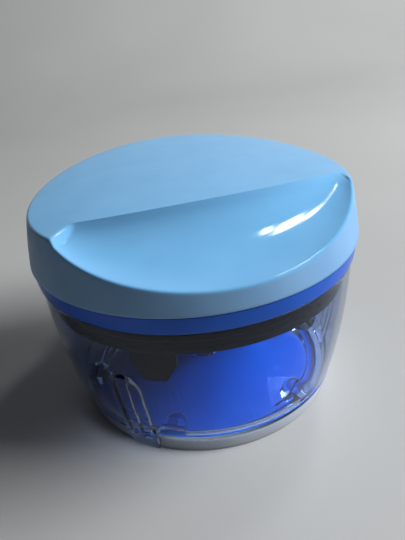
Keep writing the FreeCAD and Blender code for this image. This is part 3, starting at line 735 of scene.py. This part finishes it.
def outer_profile():
    """Pairs of plain and ribbed (radius, height) points from the rim down to the foot."""
    heights = [OUTER_TOP_Z - OUTER_STEP * i for i in range(OUTER_ROWS)]
    heights += [OUTER_FINE_Z - OUTER_FINE_STEP * i for i in range(OUTER_FINE_ROWS)]
    pairs = [((bowl_r(z), z), (bowl_r(z) + RIB_PROUD, z)) for z in heights]
    corner = soft_corner(*(Vector(p) for p in OUTER_CORNER), CORNER_STEPS)
    pairs += [((plain.x, plain.y), ribbed) for plain, ribbed in zip(corner[1:], HOOK_POINTS)]
    return pairs


def inner_profile():
    """(radius, height) points of the inside, from the axis out and up to the rim."""
    points = BOSS_POINTS + [(r, BOWL_FLOOR_Z) for r in FLOOR_RADII]
    points += [(FLOOR_FINE_R + FLOOR_FINE_STEP * i, BOWL_FLOOR_Z) for i in range(FLOOR_FINE_ROWS)]
    points += [(p.x, p.y) for p in soft_corner(*(Vector(p) for p in INNER_CORNER), CORNER_STEPS)]
    points += [(bowl_r(z) - WALL, z) for z in INNER_LOW_ROWS]
    points += [(bowl_r(z) - WALL, z) for z in INNER_HIGH_ROWS]
    return points


def raised_by_bump(az, point, towards):
    """An inside point pushed along the given direction to the surface of a corner bump."""
    for bump in BUMP_AZ:
        if abs(away(az, bump)) > BUMP_REACH:
            continue
        centre = polar(bump, BUMP_PLACE_R, BUMP_Z)
        offset = point - centre
        along = offset.dot(towards)
        square = along ** 2 - offset.length_squared + BUMP_R ** 2
        if square > 0 and -along + math.sqrt(square) > 0:
            return point + towards * (math.sqrt(square) - along)
    return point


def bowl():
    """Bowl wall with finger ribs and their hooks, foot ring, boss and corner bumps."""
    azimuths = fine_azimuths()
    pairs = outer_profile()
    inner = inner_profile()
    verts = []
    for az in azimuths:
        column = []
        for plain, ribbed in pairs:
            amount, groove = rib_amount(az, ribbed[1] if plain[1] < BOWL_SIDE[0][1] else plain[1])
            r = plain[0] + (ribbed[0] - plain[0]) * amount - groove
            z = plain[1] + (ribbed[1] - plain[1]) * amount
            column.append(polar(az, r, z))
        column += [polar(az, r, z) for r, z in FOOT_POINTS]
        for k, (r, z) in enumerate(inner):
            before = inner[max(k - 1, 0)]
            after = inner[min(k + 1, len(inner) - 1)]
            towards = polar(az, before[1] - after[1], after[0] - before[0]).normalized()
            column.append(raised_by_bump(az, polar(az, r, z), towards))
        column += [polar(az, r, z) for r, z in RIM_POINTS]
        verts += column
    faces = grid_faces(len(azimuths), len(column), True, True)
    make_piece("bowl_wall", (verts, faces), "bowl_clear", "bowl_unit", "bowl", sharp=50.0)


# --- cord ---------------------------------------------------------------------------------------
def outer_cord():
    """Cord from the eyelet into the handle."""
    verts = []
    for i in range(CORD_RINGS + 1):
        y = CORD_START_Y + (CORD_END_Y - CORD_START_Y) * i / CORD_RINGS
        for k in range(CORD_AROUND):
            a = 2 * math.pi * k / CORD_AROUND
            verts.append(Vector((CORD_R * math.cos(a), y, CORD_Z + CORD_R * math.sin(a))))
    faces = grid_faces(CORD_RINGS + 1, CORD_AROUND, False, True)
    faces.append(tuple(range(CORD_AROUND)))
    faces.append(tuple(CORD_RINGS * CORD_AROUND + k for k in range(CORD_AROUND)))
    piece = make_piece("pull_cord", (verts, faces), "cord", None, "cord_outer_run", sharp=60.0)
    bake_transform(piece)


# --- surroundings -------------------------------------------------------------------------------
def ground():
    """Pale floor that curves up into a backdrop."""
    profile = [(GROUND_FRONT_Y + GROUND_STEP * i, 0.0) for i in range(GROUND_ROWS)]
    for i in range(1, BEND_STEPS + 1):
        a = math.radians(90.0 * i / BEND_STEPS)
        profile.append((BEND_Y + BEND_R * math.sin(a), BEND_R - BEND_R * math.cos(a)))
    profile.append((BEND_Y + BEND_R, BACKDROP_TOP_Z))
    verts = []
    for x in (-GROUND_HALF_WIDTH, GROUND_HALF_WIDTH):
        verts += [(x, y, z) for y, z in profile]
    mesh = bpy.data.meshes.new("ground")
    mesh.from_pydata(verts, [], grid_faces(2, len(profile), False, False))
    mesh.shade_smooth()
    mesh.materials.append(GROUND)
    sweep = bpy.data.objects.new("ground", mesh)
    bpy.context.scene.collection.objects.link(sweep)


def direction(az, el):
    """Unit vector towards an azimuth and elevation."""
    return polar(az, math.cos(math.radians(el)), math.sin(math.radians(el)))


def area_light(name, az, el, distance, size, power, roll=0.0):
    """Rectangular daylight lamp that looks at the object from that direction."""
    place = AIM + direction(az, el) * distance
    data = bpy.data.lights.new(name, "AREA")
    data.shape = "RECTANGLE"
    data.size, data.size_y = size
    data.energy = power
    data.color = DAYLIGHT
    lamp = bpy.data.objects.new(name, data)
    lamp.location = place
    turn = (AIM - place).to_track_quat("-Z", "Y") @ Quaternion((0.0, 0.0, 1.0), roll)
    lamp.rotation_euler = turn.to_euler()
    bpy.context.scene.collection.objects.link(lamp)
    return lamp


def lights():
    """Soft daylight from the right, and window panes that show only in the scoop's gloss."""
    world = bpy.data.worlds.new("soft_room")
    world.use_nodes = True
    world.node_tree.nodes["Background"].inputs["Color"].default_value = ROOM_COLOUR
    world.node_tree.nodes["Background"].inputs["Strength"].default_value = ROOM_STRENGTH
    bpy.context.scene.world = world
    key = area_light("soft_key", *KEY_PLACE, KEY_SIZE, KEY_POWER)
    key.visible_glossy = False
    for name, (az, el, size, power, roll) in PANES.items():
        area_light(name, az, el, PANE_DISTANCE, size, power, roll)


def camera():
    """Camera that looks down at the object from the front left, slightly rolled."""
    away_from = direction(CAMERA_AZ, CAMERA_EL)
    roll = math.radians(CAMERA_ROLL)
    side = Vector((0, 0, 1)).cross(away_from).normalized()
    above = away_from.cross(side)
    right = side * math.cos(roll) - above * math.sin(roll)
    up = side * math.sin(roll) + above * math.cos(roll)
    data = bpy.data.cameras.new("photo_camera")
    data.lens = CAMERA_LENS
    data.sensor_width = CAMERA_SENSOR
    data.shift_x, data.shift_y = CAMERA_SHIFT
    data.clip_start = 0.01
    eye = bpy.data.objects.new("photo_camera", data)
    turn = Matrix((right, up, away_from)).transposed().to_4x4()
    eye.matrix_world = Matrix.Translation(CAMERA_TARGET + away_from * CAMERA_DISTANCE) @ turn
    bpy.context.scene.collection.objects.link(eye)
    bpy.context.scene.camera = eye


finish_cad_nodes()
lid_cover()
lid_housing()
seal()
eyelet()
base()
floor_disc()
bowl()
outer_cord()
ground()
lights()
camera()
bpy.context.scene.view_settings.view_transform = "Standard"
